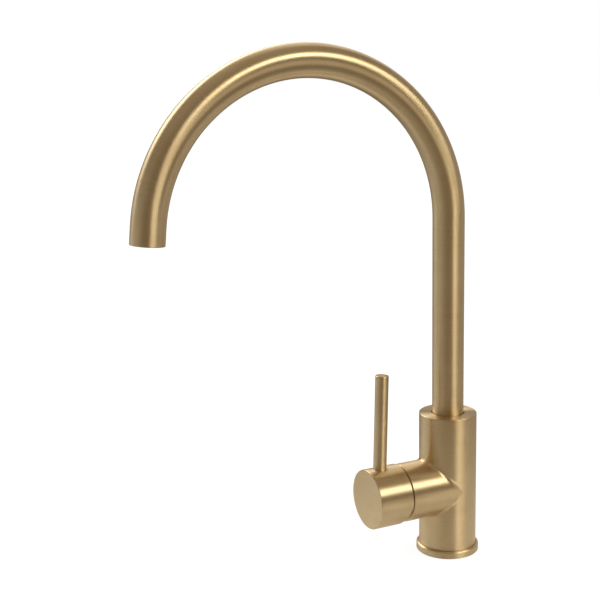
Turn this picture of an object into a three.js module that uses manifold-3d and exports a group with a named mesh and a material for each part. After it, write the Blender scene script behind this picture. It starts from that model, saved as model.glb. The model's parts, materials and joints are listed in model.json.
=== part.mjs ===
// Gooseneck mixer tap with a swivelling tube spout and a pin lever on a side-on 35 mm cartridge.
// Millimetres, +Z up. The origin is the centre of the body's underside, where it stands on the worktop.
// The spout and the cartridge boss both point towards -Y.
import * as THREE from 'three';
import { mergeVertices } from 'three/addons/utils/BufferGeometryUtils.js';
import Module from 'manifold-3d';

const wasm = await Module();
wasm.setup();

// Driving dimensions, in millimetres and degrees.
const body = { radius: 23, height: 116, edge: 0.7 };
const ring = { radius: 25.2, height: 6, inner: 23.3, round: 1.6 };
const boss = { radius: 23, end: 44.9, height: 55.5, edge: 0.5 };
const bore = { radius: 18.2, floor: 12 };
const tube = { radius: 12.5, wall: 1.3, foot: 106, bendHeight: 273, bendRadius: 122, bendAngle: 174, tail: 12.7 };
const socket = { mouth: 13.3, shoulder: 103, radius: 11.5, floor: 78 };
const spigot = { radius: 10.6, bore: 7.5, foot: 80 };
const ports = { inletX: 7.5, inletUp: 5, outletUp: -8.5, radius: 3.2 };
const inlet = { x: 9, radius: 4, mouth: 4.9, mouthDepth: 12 };
const stud = { radius: 3.9, y: 13, depth: 12, foot: -62 };
const kit = { radius: 24, top: -30, rubber: 3, steel: 2, slot: 12, slotEnd: 6 };
const pivot = 40;
const hub = { rear: 46.2, front: 74.8, radius: 23.6, wall: 1.6, reliefAngle: 18, reliefStart: -3 };
const lever = { radius: 5.25, along: 64, lean: 2, top: 99.4, seat: 20.4 };
const setScrew = { radius: 2.4, height: 92.5 };

const brass = { color: 0xc9a96b, roughness: 0.34, metalness: 1 };
const rawBrass = { color: 0xb08d4c, roughness: 0.45, metalness: 1 };
const steel = { color: 0xb8babd, roughness: 0.4, metalness: 1 };
const rubber = { color: 0x1d1d1e, roughness: 0.85, metalness: 0 };
const polymer = { color: 0xe6e4dc, roughness: 0.55, metalness: 0 };
const darkPolymer = { color: 0x2b2724, roughness: 0.6, metalness: 0 };
const ceramic = { color: 0xf2efe8, roughness: 0.2, metalness: 0 };

// A closed geometry with shared corners, no slivers and its faces pointing out.
function closed(geometry) {
  const source = geometry.index ? geometry.toNonIndexed() : geometry;
  source.deleteAttribute('normal');
  source.deleteAttribute('uv');
  const merged = mergeVertices(source, 1e-4);
  const position = merged.getAttribute('position');
  const corners = [0, 1, 2].map(() => new THREE.Vector3());
  const kept = [];
  let volume = 0;
  for (let i = 0; i < merged.index.count; i += 3) {
    const face = [0, 1, 2].map((k) => merged.index.getX(i + k));
    if (new Set(face).size < 3) continue;
    face.forEach((vertex, k) => corners[k].fromBufferAttribute(position, vertex));
    volume += corners[0].dot(corners[1].clone().cross(corners[2]));
    kept.push(face);
  }
  const faces = volume < 0 ? kept.map((face) => [face[0], face[2], face[1]]) : kept;
  merged.setIndex(faces.flat());
  return merged;
}

function toSolid(geometry) {
  const shape = closed(geometry);
  const vertProperties = new Float32Array(shape.getAttribute('position').array);
  const triVerts = new Uint32Array(shape.index.array);
  return new wasm.Manifold(new wasm.Mesh({ numProp: 3, vertProperties, triVerts }));
}

function toGeometry(solid) {
  const mesh = solid.getMesh();
  const geometry = new THREE.BufferGeometry();
  geometry.setAttribute('position', new THREE.BufferAttribute(new Float32Array(mesh.vertProperties), 3));
  geometry.setIndex(new THREE.BufferAttribute(new Uint32Array(mesh.triVerts), 1));
  return geometry;
}

// One geometry: the first shape joined with the others in `added`, less everything in `removed`.
function carve(first, added, removed) {
  let solid = toSolid(first);
  for (const geometry of added) solid = solid.add(toSolid(geometry));
  for (const geometry of removed) solid = solid.subtract(toSolid(geometry));
  return toGeometry(solid);
}

// A shape turned about Z from [radius, height] points.
function turned(points, segments = 32) {
  const profile = points.map(([radius, height]) => new THREE.Vector2(radius, height));
  return new THREE.LatheGeometry(profile, segments).rotateX(Math.PI / 2);
}

function rod(radius, low, high, segments = 32, edge = 0) {
  const flank = edge ? [[radius - edge, low], [radius, low + edge], [radius, high - edge], [radius - edge, high]]
    : [[radius, low], [radius, high]];
  return turned([[0, low], ...flank, [0, high]], segments);
}

function sleeve(inner, outer, low, high, segments = 32) {
  return turned([[inner, low], [outer, low], [outer, high], [inner, high], [inner, low]], segments);
}

function ringOfRound(radius, thickness, height) {
  const sides = 8;
  const points = Array.from({ length: sides + 1 }, (_, i) => {
    const turn = (i % sides) * 2 * Math.PI / sides;
    return [radius + thickness * Math.cos(turn), height + thickness * Math.sin(turn)];
  });
  return turned(points, 24);
}

function box(x, y, z, cx = 0, cy = 0, cz = 0) {
  return new THREE.BoxGeometry(x, y, z).translate(cx, cy, cz);
}

// A shape made on Z is laid along the boss: its Z becomes the tap's -Y, and its Y becomes the tap's +Z.
function towardsFront(geometry) {
  return geometry.rotateX(Math.PI / 2).translate(0, 0, boss.height);
}

// Local Z laid along X or along Y, for cross pins and cross holes.
const alongX = (geometry) => geometry.rotateY(Math.PI / 2);
const alongY = (geometry) => geometry.rotateX(-Math.PI / 2);

// The lever pin's own line in the hub: it stands up and leans a little towards the column.
function alongPin(geometry) {
  return alongY(geometry).rotateX(-THREE.MathUtils.degToRad(lever.lean)).translate(0, 0, lever.along);
}

function prism(outline, depth, holes = []) {
  const shape = new THREE.Shape(outline.map(([x, y]) => new THREE.Vector2(x, y)));
  for (const [x, y, radius] of holes) {
    shape.holes.push(new THREE.Path().absarc(x, y, radius, 0, 2 * Math.PI, true));
  }
  return new THREE.ExtrudeGeometry(shape, { depth, bevelEnabled: false, curveSegments: 8 });
}

function disc(radius, low, high, holes, curveSegments = 10) {
  const shape = new THREE.Shape().absarc(0, 0, radius, 0, 2 * Math.PI);
  for (const [x, y, r] of holes) shape.holes.push(new THREE.Path().absarc(x, y, r, 0, 2 * Math.PI, true));
  const options = { depth: high - low, bevelEnabled: false, curveSegments };
  return new THREE.ExtrudeGeometry(shape, options).translate(0, 0, low);
}

function hexagon(circumradius) {
  const corner = (i) => [circumradius * Math.cos(i * Math.PI / 3), circumradius * Math.sin(i * Math.PI / 3)];
  return Array.from({ length: 6 }, (_, i) => corner(i));
}

function node(name, geometry, look) {
  const mesh = new THREE.Mesh(closed(geometry), new THREE.MeshStandardMaterial(look));
  mesh.name = name;
  return mesh;
}

// The cast body: an upright column and a side boss, with the bores that hold the spout and the cartridge.
function mixerBody() {
  const column = rod(body.radius, 0, body.height, 48, body.edge);
  const sideBoss = towardsFront(rod(boss.radius, 0, boss.end, 48, boss.edge));
  const front = boss.height;
  const inletTop = front + ports.inletUp;
  const outletHeight = front + ports.outletUp;
  const risingPort = { y: 8, radius: 4.5 };
  const channel = (x, height, length, radius) =>
    rod(radius, -length, bore.floor + 0.5, 12).rotateX(Math.PI / 2).translate(x, 0, height);
  const cuts = [
    rod(socket.mouth, socket.shoulder, body.height + 1, 36),
    rod(socket.radius, socket.floor, socket.shoulder + 1, 32),
    towardsFront(rod(bore.radius, bore.floor, boss.end + 1, 40)),
    rod(risingPort.radius, outletHeight, socket.floor + 1, 14).translate(0, risingPort.y, 0),
    channel(0, outletHeight, risingPort.y, ports.radius),
    sleeve(18.6, 21.6, -1, 1.7, 32),
    rod(stud.radius + 0.3, -1, stud.depth + 1, 14).translate(0, stud.y, 0),
    alongY(rod(setScrew.radius + 0.25, 11, 24, 12)).translate(0, 0, setScrew.height),
  ];
  for (const side of [-1, 1]) {
    cuts.push(rod(inlet.radius, -1, inletTop + 2, 14).translate(side * inlet.x, 0, 0));
    cuts.push(rod(inlet.mouth, -1, inlet.mouthDepth, 16).translate(side * inlet.x, 0, 0));
    cuts.push(channel(side * ports.inletX, inletTop, 0, ports.radius));
  }
  return carve(column, [sideBoss], cuts);
}

function baseRing() {
  const { radius, height, inner, round } = ring;
  const shoulder = [0, 1, 2, 3].map((i) => {
    const turn = i * Math.PI / 6;
    return [radius - round + round * Math.cos(turn), height - round + round * Math.sin(turn)];
  });
  return turned([[inner, 0], [radius - 0.5, 0], [radius, 0.5], ...shoulder, [inner, height], [inner, 0]], 40);
}

// Everything that the worktop holds up and that never moves.
function fixedParts() {
  const group = new THREE.Group();
  group.add(
    node('mixer_body', mixerBody(), brass),
    node('base_ring', baseRing(), brass),
    node('base_seal', sleeve(18.9, 21.3, 0, 1.4), rubber),
    node('glide_washer', sleeve(11.3, 13, 103.2, 104.3), polymer),
    node('spout_bush', sleeve(12.7, 13.1, 105, 115, 36), darkPolymer),
    node('spout_set_screw', alongY(rod(setScrew.radius, 9.8, 22.2, 12)).translate(0, 0, setScrew.height), steel),
  );
  return group;
}

// The cartridge's fixed half, in the boss frame: Z runs out of the boss, Y is up.
function fixedCartridge() {
  const holes = (radius) => [
    [-ports.inletX, ports.inletUp, radius],
    [ports.inletX, ports.inletUp, radius],
    [0, ports.outletUp, radius],
  ];
  const housing = [
    [14.6, 18.7], [17.3, 18.7], [17.3, 35], [13.6, 35], [13.6, 43], [11.6, 43], [11.6, 33], [14.6, 33], [14.6, 18.7],
  ];
  const cover = [
    [17.7, 45.1], [20.4, 45.1], [20.4, 47.2], [19.8, 48.4], [18.7, 49], [12.9, 49], [12.9, 47.7], [17.7, 47.7],
    [17.7, 45.1],
  ];
  const nutHead = prism(hexagon(17.2), 5.2, [[0, 0, 13.9]]).translate(0, 0, 42.2);
  const group = new THREE.Group();
  group.add(
    node('port_gasket', disc(14, 12.2, 13.2, holes(3.6)), rubber),
    node('cartridge_base', disc(17.3, 13.4, 18.4, holes(3.2)), polymer),
    node('fixed_disc', disc(12.4, 18.7, 22.6, holes(2.8)), ceramic),
    node('cartridge_housing', turned(housing), polymer),
    node('cartridge_nut', carve(sleeve(13.9, 18, 35.3, 42.5, 32), [nutHead], []), rawBrass),
    node('cartridge_cover', turned(cover, 32), brass),
  );
  return group;
}

// What turns with the lever for temperature but doesn't tilt: the rotor and its cross pin.
function rotorParts() {
  const blank = turned([[0, 31.9], [14.2, 31.9], [14.2, 32.7], [11.3, 32.7], [11.3, 43.5], [0, 43.5]], 32);
  const slot = box(7.5, 17.2, 16, 0, 0, 38);
  const pinHole = alongX(rod(1.7, -12, 12, 12)).translate(0, 0, pivot);
  const group = new THREE.Group();
  group.add(
    node('cartridge_rotor', carve(blank, [], [slot, pinHole]), polymer),
    node('stem_pin', alongX(rod(1.5, -10.5, 10.5, 12)).translate(0, 0, pivot), steel),
  );
  return group;
}

// The sliding half of the valve: a ceramic disc with a mixing pocket, and the carrier that the stem pushes.
function discParts() {
  const plate = rod(11.4, 22.8, 27.7, 36);
  const mixingPocket = box(15.2, 8, 3.2, 0, -3, 23.4);
  const carrier = rod(11.4, 27.9, 31.5, 36);
  const stemPocket = box(7.6, 4.7, 4, 0, 0, 30.4);
  const group = new THREE.Group();
  group.add(
    node('moving_disc', carve(plate, [], [mixingPocket]), ceramic),
    node('disc_carrier', carve(carrier, [], [stemPocket]), polymer),
  );
  return group;
}

// The lever stem: a round tip in the carrier, a flat blade through the rotor and a square end in the hub.
function cartridgeStem() {
  const blade = prism([[30.6, -1.6], [35, -1.6], [36.5, -3.6], [47, -3.6], [47, 3.6], [36.5, 3.6], [35, 1.6],
    [30.6, 1.6]], 7).rotateY(-Math.PI / 2).translate(3.5, 0, 0);
  const tip = alongX(rod(2, -3, 3, 16)).translate(0, 0, 30.6);
  const square = box(8, 8, 22, 0, 0, 57.2);
  const pinHole = alongX(rod(1.75, -5, 5, 12)).translate(0, 0, pivot);
  return carve(blade, [tip, square], [pinHole]);
}

// The hub is a hollow cap with a post for the stem, a pillar for the pin, and a rear face cut back below.
function handleHub() {
  const shell = rod(hub.radius, hub.rear, hub.front, 48, 0.7);
  const rearHollow = rod(hub.radius - hub.wall, hub.rear - 1, 57, 40);
  const frontHollow = rod(hub.radius - 2 * hub.wall, 56, hub.front - 3.5, 40);
  const post = rod(8.5, 54, hub.front - 2.5, 24);
  const pillar = alongPin(rod(8, -21.6, 21.6, 20));
  const walls = carve(shell, [], [rearHollow, frontHollow]);
  const depth = 25;
  const slope = Math.tan(THREE.MathUtils.degToRad(hub.reliefAngle));
  const reach = hub.rear + (depth + hub.reliefStart) * slope;
  const relief = prism([[hub.rear - 4, hub.reliefStart], [hub.rear - 4, -depth], [reach, -depth],
    [hub.rear, hub.reliefStart]], 60).rotateY(-Math.PI / 2).translate(30, 0, 0);
  const cuts = [
    box(8.6, 8.6, 16, 0, 0, 60.8),
    alongPin(rod(lever.radius + 0.3, lever.seat - 0.3, 27, 24)),
    alongPin(rod(3.2, 5.5, lever.seat + 0.2, 14)),
    alongPin(rod(2.65, -27, -4, 12)),
    relief,
  ];
  return carve(walls, [post, pillar], cuts);
}

function leverPin() {
  const shank = 2.9;
  const profile = [
    [0, 6], [shank, 6], [shank, lever.seat], [lever.radius, lever.seat], [lever.radius, lever.top - 0.8],
    [lever.radius - 0.8, lever.top], [0, lever.top],
  ];
  return alongPin(turned(profile, 28));
}

function handleParts() {
  const group = new THREE.Group();
  group.add(
    node('cartridge_stem', cartridgeStem(), rawBrass),
    node('handle_hub', handleHub(), brass),
    node('lever_pin', leverPin(), brass),
    node('hub_set_screw', alongPin(rod(2.4, -13, -4.6, 12)), steel),
  );
  return group;
}

// The gooseneck's centre line: up, round, and a short straight tail for the aerator.
class Gooseneck extends THREE.Curve {
  getPoint(t) {
    const { foot, bendHeight, bendRadius, bendAngle, tail } = tube;
    const riser = bendHeight - foot;
    const bend = THREE.MathUtils.degToRad(bendAngle);
    const travel = t * (riser + bendRadius * bend + tail);
    if (travel < riser) return new THREE.Vector3(0, 0, foot + travel);
    const turn = Math.min((travel - riser) / bendRadius, bend);
    const past = Math.max(travel - riser - bendRadius * bend, 0);
    const y = -bendRadius * (1 - Math.cos(turn)) - past * Math.sin(turn);
    const z = bendHeight + bendRadius * Math.sin(turn) + past * Math.cos(turn);
    return new THREE.Vector3(0, y, z);
  }
}

function spoutTube() {
  const section = new THREE.Shape().absarc(0, 0, tube.radius, 0, 2 * Math.PI);
  section.holes.push(new THREE.Path().absarc(0, 0, tube.radius - tube.wall, 0, 2 * Math.PI, true));
  return new THREE.ExtrudeGeometry(section, { steps: 40, curveSegments: 9, extrudePath: new Gooseneck() });
}

// The adaptor soldered into the tube's foot, with two seal grooves and a groove for the set screw.
function spoutSpigot() {
  const { radius, bore: waterway, foot } = spigot;
  const grooves = [[84, 87, 9], [89.5, 95.5, 9.3], [98, 101, 9]];
  const flank = grooves.flatMap(([low, high, depth]) => [[radius, low], [depth, low], [depth, high], [radius, high]]);
  return turned([
    [waterway, foot], [radius, foot], ...flank, [radius, 104.6], [12.4, 104.6], [12.4, 105.7], [10.9, 105.7],
    [10.9, 118], [waterway, 118], [waterway, foot],
  ], 24);
}

// The aerator sits flush in the tube's tail. Its frame has Z pointing up into the tube.
function aerator() {
  const group = new THREE.Group();
  const bend = THREE.MathUtils.degToRad(tube.bendAngle);
  const along = (turn) => [
    -tube.bendRadius * (1 - Math.cos(turn)) - tube.tail * Math.sin(turn),
    tube.bendHeight + tube.bendRadius * Math.sin(turn) + tube.tail * Math.cos(turn),
  ];
  const [y, z] = along(bend);
  group.position.set(0, y, z);
  group.rotation.x = bend - Math.PI;
  const jets = [[0, 0, 1.1]];
  for (let i = 0; i < 6; i += 1) {
    const turn = i * Math.PI / 3;
    jets.push([5.2 * Math.cos(turn), 5.2 * Math.sin(turn), 1.3]);
  }
  const housing = [[8.8, 0.6], [10.8, 0.6], [10.8, 9], [7.6, 9], [7.6, 7.8], [8.8, 7.8], [8.8, 0.6]];
  group.add(
    node('aerator_housing', turned(housing, 24), polymer),
    node('aerator_screen', disc(8.5, 1, 1.8, jets, 6), steel),
    node('aerator_insert', disc(8.5, 2.1, 7.4, jets, 6), darkPolymer),
    node('aerator_seal', sleeve(8, 10.7, 9.3, 10.9, 24), rubber),
  );
  return group;
}

function spoutParts() {
  const group = new THREE.Group();
  group.add(
    node('spout_tube', spoutTube(), brass),
    node('spout_spigot', spoutSpigot(), rawBrass),
    node('spigot_seal_lower', ringOfRound(10.28, 1.08, 85.5), rubber),
    node('spigot_seal_upper', ringOfRound(10.28, 1.08, 99.5), rubber),
    aerator(),
  );
  return group;
}

// Below the worktop: a stud into the body, a rubber and a steel horseshoe, and the nut that pulls them up.
function fixingKit() {
  const { radius, top, rubber: soft, steel: hard, slot, slotEnd } = kit;
  const horseshoe = (depth, low) => {
    const start = Math.acos(slot / radius);
    const outline = new THREE.Shape();
    outline.absarc(0, 0, radius, -start, Math.PI + start);
    outline.lineTo(-slot, slotEnd);
    outline.lineTo(slot, slotEnd);
    outline.holes.push(new THREE.Path().absarc(0, stud.y, stud.radius + 0.4, 0, 2 * Math.PI, true));
    return new THREE.ExtrudeGeometry(outline, { depth, bevelEnabled: false, curveSegments: 18 }).translate(0, 0, low);
  };
  const steelTop = top - soft - 0.2;
  const nutTop = steelTop - hard - 0.2;
  const nut = prism(hexagon(7.2), 8, [[0, 0, stud.radius + 0.25]]).translate(0, stud.y, nutTop - 8);
  const group = new THREE.Group();
  group.add(
    node('fixing_stud', rod(stud.radius, stud.foot, stud.depth, 16, 0.6).translate(0, stud.y, 0), steel),
    node('rubber_horseshoe', horseshoe(soft, top - soft), rubber),
    node('steel_horseshoe', horseshoe(hard, steelTop - hard), steel),
    node('stud_nut', nut, steel),
  );
  return group;
}

const tap = new THREE.Group();
const bossFrame = new THREE.Group();
bossFrame.position.z = boss.height;
bossFrame.rotation.x = Math.PI / 2;
bossFrame.add(fixedCartridge(), rotorParts(), discParts(), handleParts());
tap.add(fixedParts(), fixingKit(), spoutParts(), bossFrame);

export default tap;
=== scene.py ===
# Gooseneck mixer tap in brushed brass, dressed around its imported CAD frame.
import json
import math

import bmesh
import bpy
from mathutils import Matrix, Vector


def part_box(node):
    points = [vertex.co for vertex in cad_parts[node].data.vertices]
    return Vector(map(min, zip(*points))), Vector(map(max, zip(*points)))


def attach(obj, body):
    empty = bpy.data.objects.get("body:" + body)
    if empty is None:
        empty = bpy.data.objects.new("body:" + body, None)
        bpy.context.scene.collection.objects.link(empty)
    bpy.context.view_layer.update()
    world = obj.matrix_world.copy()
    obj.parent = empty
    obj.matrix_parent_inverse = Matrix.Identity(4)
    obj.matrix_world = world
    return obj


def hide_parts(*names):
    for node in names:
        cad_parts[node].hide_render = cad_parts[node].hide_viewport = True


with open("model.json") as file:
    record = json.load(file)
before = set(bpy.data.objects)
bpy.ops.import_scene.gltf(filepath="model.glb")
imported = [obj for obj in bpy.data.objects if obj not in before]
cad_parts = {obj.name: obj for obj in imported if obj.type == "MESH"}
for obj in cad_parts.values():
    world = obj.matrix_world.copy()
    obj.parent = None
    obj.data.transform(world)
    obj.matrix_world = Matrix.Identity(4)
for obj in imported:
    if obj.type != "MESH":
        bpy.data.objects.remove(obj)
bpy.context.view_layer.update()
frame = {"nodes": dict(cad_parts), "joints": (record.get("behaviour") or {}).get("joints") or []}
print("frame loaded:", len(frame["nodes"]), "nodes")

# Pieces are shaped in millimetres and scaled to metres when they are finished.
millimetre = 0.001


def boxOf(node):
    low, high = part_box(node)
    return low / millimetre, high / millimetre


joints = {joint["name"]: joint for joint in frame["joints"]}
bodyLow, bodyHigh = boxOf("mixer_body")
columnRadius = bodyHigh.x
columnHeight = bodyHigh.z
bossReach = -bodyLow.y
axisHeight = joints["lever_turn"]["pos_m"][2] / millimetre
hubLow, hubHigh = boxOf("handle_hub")
tubeLow, tubeHigh = boxOf("spout_tube")
ringHigh = boxOf("base_ring")[1]
screwHeight = 92.5  # of the grub screw behind the spigot

# Where each family of parts stands: local Z is always the axis that the part is turned on.
upright = Matrix.Identity(4)
alongBoss = Matrix.Translation((0, 0, axisHeight)) @ Matrix.Rotation(math.radians(90), 4, "X")
studPlace = Matrix.Translation((0, sum(box.y for box in boxOf("fixing_stud")) / 2, 0))
backScrew = Matrix.Translation((0, 0, screwHeight)) @ Matrix.Rotation(math.radians(-90), 4, "X")


# Each value goes into its socket: a link from another socket, or a plain number or colour.
def plug(tree, node, values):
    for title, value in values.items():
        socket = node.inputs[title]
        if isinstance(value, bpy.types.NodeSocket):
            tree.links.new(value, socket)
        else:
            socket.default_value = (*value, 1) if socket.type == "RGBA" else value


def added(tree, kind, values=None, **settings):
    node = tree.nodes.new("ShaderNode" + kind)
    for title, value in settings.items():
        setattr(node, title, value)
    plug(tree, node, values or {})
    return node


def nodeGroup(name, inputs, outputs):
    group = bpy.data.node_groups.new(name, "ShaderNodeTree")
    for way, sockets in (("INPUT", inputs), ("OUTPUT", outputs)):
        for title, kind in sockets.items():
            group.interface.new_socket(title, in_out=way, socket_type="NodeSocket" + kind)
    return group, group.nodes.new("NodeGroupInput").outputs, group.nodes.new("NodeGroupOutput")


def mathNode(tree, operation, *values):
    return added(tree, "Math", dict(enumerate(values)), operation=operation).outputs[0]


def ramped(tree, value, low, high, outLow=0.0, outHigh=1.0):
    ends = {"Value": value, "From Min": low, "From Max": high, "To Min": outLow, "To Max": outHigh}
    return added(tree, "MapRange", ends, interpolation_type="SMOOTHSTEP").outputs["Result"]


def scaled(tree, vector, size):
    return added(tree, "VectorMath", {0: vector, "Scale": size}, operation="SCALE").outputs[0]


def stretched(tree, vector, around, across):
    widths = added(tree, "CombineXYZ", {"X": around, "Y": around, "Z": across}).outputs[0]
    return added(tree, "VectorMath", {0: vector, 1: widths}, operation="MULTIPLY").outputs[0]


def noise(tree, vector, detail, scale=1.0, roughness=0.55):
    values = {"Vector": vector, "Scale": scale, "Detail": detail, "Roughness": roughness}
    return added(tree, "TexNoise", values).outputs["Fac"]


def mixed(tree, factor, first, second):
    return added(tree, "Mix", {0: factor, 6: first, 7: second}, data_type="RGBA").outputs[2]


# A colour laid over the base where the mask is high.
def tinted(tree, base, colour, mask, amount):
    return mixed(tree, mathNode(tree, "MULTIPLY", mask, amount), base, colour)


# Fine lines left by a brushing belt: long around the part, narrow along its axis.
def makeBrushing():
    tree, given, out = nodeGroup(
        "brushing",
        {
            "Path": "Vector", "Around": "Float", "Across": "Float",
            "Hair Around": "Float", "Hair Across": "Float",
        },
        {"Streak": "Float", "Hair": "Float", "Height": "Float"},
    )
    wide = stretched(tree, given["Path"], given["Around"], given["Across"])
    thin = stretched(tree, given["Path"], given["Hair Around"], given["Hair Across"])
    streak = ramped(tree, noise(tree, wide, 2.0), 0.3, 0.7)
    hair = ramped(tree, noise(tree, thin, 2.0, roughness=0.7), 0.25, 0.75)
    height = mathNode(tree, "MULTIPLY_ADD", hair, 0.6, mathNode(tree, "MULTIPLY", streak, 0.4))
    plug(tree, out, {"Streak": streak, "Hair": hair, "Height": height})
    return tree


# A mask of a part's rounded corners, taken from the bevel normal and broken up by noise, where a painted
# highlight is laid.
def makePaintedEdgeHighlight():
    tree, given, out = nodeGroup(
        "paintedEdgeHighlight", {"Position": "Vector", "Width": "Float"}, {"Mask": "Float"},
    )
    softened = added(tree, "Bevel", {"Radius": given["Width"]}, samples=4).outputs["Normal"]
    plain = added(tree, "NewGeometry").outputs["Normal"]
    agree = added(tree, "VectorMath", {0: softened, 1: plain}, operation="DOT_PRODUCT")
    corner = ramped(tree, agree.outputs["Value"], 0.995, 0.86)
    broken = ramped(tree, noise(tree, given["Position"], 3.0, scale=260.0), 0.35, 0.6, 0.45, 1.0)
    plug(tree, out, {"Mask": mathNode(tree, "MULTIPLY", corner, broken)})
    return tree


# Slow drift between two tones, as a plated or moulded surface has.
def makeToneDrift():
    tree, given, out = nodeGroup(
        "toneDrift",
        {"Position": "Vector", "Size": "Float", "First": "Color", "Second": "Color"},
        {"Colour": "Color", "Cloud": "Float"},
    )
    cloud = ramped(tree, noise(tree, scaled(tree, given["Position"], given["Size"]), 4.0), 0.32, 0.68)
    plug(tree, out, {"Colour": mixed(tree, cloud, given["First"], given["Second"]), "Cloud": cloud})
    return tree


# Tiny pits and dust of a moulded or sintered surface.
def makePitting():
    tree, given, out = nodeGroup(
        "pitting", {"Position": "Vector", "Count": "Float"}, {"Height": "Float", "Speck": "Float"},
    )
    grain = noise(tree, scaled(tree, given["Position"], given["Count"]), 2.0)
    plug(tree, out, {"Height": grain, "Speck": ramped(tree, grain, 0.6, 0.72)})
    return tree


brushing = makeBrushing()
paintedEdgeHighlight = makePaintedEdgeHighlight()
toneDrift = makeToneDrift()
pitting = makePitting()


def placed(tree, group, values):
    return added(tree, "Group", values, node_tree=group).outputs


# What every finish starts from: its drifting tone and the mask of its corners, where a painted highlight
# goes.
def newFinish(name, look):
    material = bpy.data.materials.new(name)
    material.use_nodes = True
    tree = material.node_tree
    position = added(tree, "TexCoord").outputs["Object"]
    tone = placed(tree, toneDrift, {
        "Position": position, "Size": look["driftSize"], "First": look["deep"], "Second": look["light"],
    })
    edge = placed(tree, paintedEdgeHighlight, {"Position": position, "Width": look["edgeWidth"]})["Mask"]
    return material, tree, position, tone, edge


def bumped(tree, height, look):
    values = {"Height": height, "Strength": look["bump"], "Distance": look["bumpDepth"]}
    return added(tree, "Bump", values).outputs["Normal"]


# Brushed metal whose lines follow each part's own turning axis.
def brushedMetal(name, look):
    material, tree, position, tone, edge = newFinish(name, look)
    lines = placed(tree, brushing, {
        "Path": added(tree, "Attribute", attribute_name="turningPath").outputs["Vector"],
        "Around": look["around"],
        "Across": look["across"],
        "Hair Around": look["hairAround"],
        "Hair Across": look["hairAcross"],
    })
    colour = tinted(tree, tone["Colour"], look["streakColour"], lines["Streak"], look["streakTint"])
    colour = tinted(tree, colour, look["deep"], lines["Hair"], look["hairTint"])
    # Rounded corners are tinted lighter: a painted highlight along the edges. The same mask also makes them a
    # little smoother.
    colour = tinted(tree, colour, look["edgeHighlightColour"], edge, look["edgeHighlightTint"])
    spread = mathNode(tree, "MULTIPLY_ADD", lines["Streak"], look["streakRoughness"], look["roughness"])
    spread = mathNode(tree, "MULTIPLY_ADD", lines["Hair"], look["hairRoughness"], spread)
    spread = mathNode(tree, "MULTIPLY_ADD", edge, -look["edgeShine"], spread)
    plug(tree, tree.nodes["Principled BSDF"], {
        "Base Color": colour,
        "Roughness": spread,
        "Metallic": 1,
        "Anisotropic": look["anisotropy"],
        "Anisotropic Rotation": 0.25,  # a quarter turn: the gloss spreads across the lines
        "Tangent": added(tree, "Tangent", direction_type="UV_MAP", uv_map="brushUv").outputs["Tangent"],
        "Normal": bumped(tree, lines["Height"], look),
    })
    return material


# Moulded, pressed or sintered stuff: rubber, plastic and ceramic.
def mouldedStuff(name, look):
    material, tree, position, tone, edge = newFinish(name, look)
    pits = placed(tree, pitting, {"Position": position, "Count": look["pits"]})
    colour = tinted(tree, tone["Colour"], look["speckColour"], pits["Speck"], look["speckTint"])
    # Rounded corners are tinted lighter: a painted highlight along the edges.
    colour = tinted(tree, colour, look["edgeHighlightColour"], edge, look["edgeHighlightTint"])
    plug(tree, tree.nodes["Principled BSDF"], {
        "Base Color": colour,
        "Roughness": mathNode(tree, "MULTIPLY_ADD", tone["Cloud"], look["cloudRoughness"], look["roughness"]),
        "Normal": bumped(tree, pits["Height"], look),
    })
    return material


brassLook = {
    "deep": (0.685, 0.508, 0.281),
    "light": (0.745, 0.57, 0.327),
    "streakColour": (0.785, 0.637, 0.385),
    # The edge colour is a painted highlight on rounded corners.
    "edgeHighlightColour": (0.90, 0.74, 0.46),
    "around": 0.03,
    "across": 0.85,
    "hairAround": 0.16,
    "hairAcross": 6.0,
    "driftSize": 38.0,
    "streakTint": 0.35,
    "hairTint": 0.3,
    "edgeHighlightTint": 0.55,
    "edgeWidth": 0.0006,
    "edgeShine": 0.08,
    "roughness": 0.34,
    "streakRoughness": 0.05,
    "hairRoughness": 0.05,
    "anisotropy": 0.9,
    "bump": 0.12,
    "bumpDepth": 0.00004,
}
rawBrassLook = {
    **brassLook,
    "deep": (0.60, 0.42, 0.19),
    "light": (0.70, 0.52, 0.26),
    "streakColour": (0.74, 0.58, 0.33),
    "edgeHighlightColour": (0.82, 0.66, 0.38),
    "across": 2.2,
    "hairAcross": 9.0,
    "roughness": 0.36,
    "anisotropy": 0.35,
    "bump": 0.3,
}
steelLook = {
    **brassLook,
    "deep": (0.42, 0.43, 0.45),
    "light": (0.54, 0.55, 0.56),
    "streakColour": (0.62, 0.62, 0.60),
    "edgeHighlightColour": (0.74, 0.74, 0.73),
    "across": 1.6,
    "hairAcross": 8.0,
    "roughness": 0.33,
    "anisotropy": 0.3,
    "bump": 0.25,
}
rubberLook = {
    "deep": (0.018, 0.018, 0.019),
    "light": (0.032, 0.031, 0.031),
    "speckColour": (0.09, 0.088, 0.085),
    "edgeHighlightColour": (0.07, 0.068, 0.066),
    "driftSize": 120.0,
    "pits": 1400.0,
    "speckTint": 0.5,
    "edgeHighlightTint": 0.5,
    "edgeWidth": 0.0005,
    "roughness": 0.62,
    "cloudRoughness": 0.14,
    "bump": 0.25,
    "bumpDepth": 0.00008,
}
darkPolymerLook = {
    **rubberLook,
    "deep": (0.022, 0.019, 0.017),
    "light": (0.034, 0.03, 0.027),
    "roughness": 0.45,
    "pits": 2200.0,
    "bump": 0.12,
}
palePolymerLook = {
    **rubberLook,
    "deep": (0.72, 0.71, 0.67),
    "light": (0.80, 0.79, 0.75),
    "speckColour": (0.66, 0.64, 0.60),
    "edgeHighlightColour": (0.86, 0.85, 0.82),
    "roughness": 0.4,
    "pits": 2000.0,
    "bump": 0.1,
}
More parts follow.
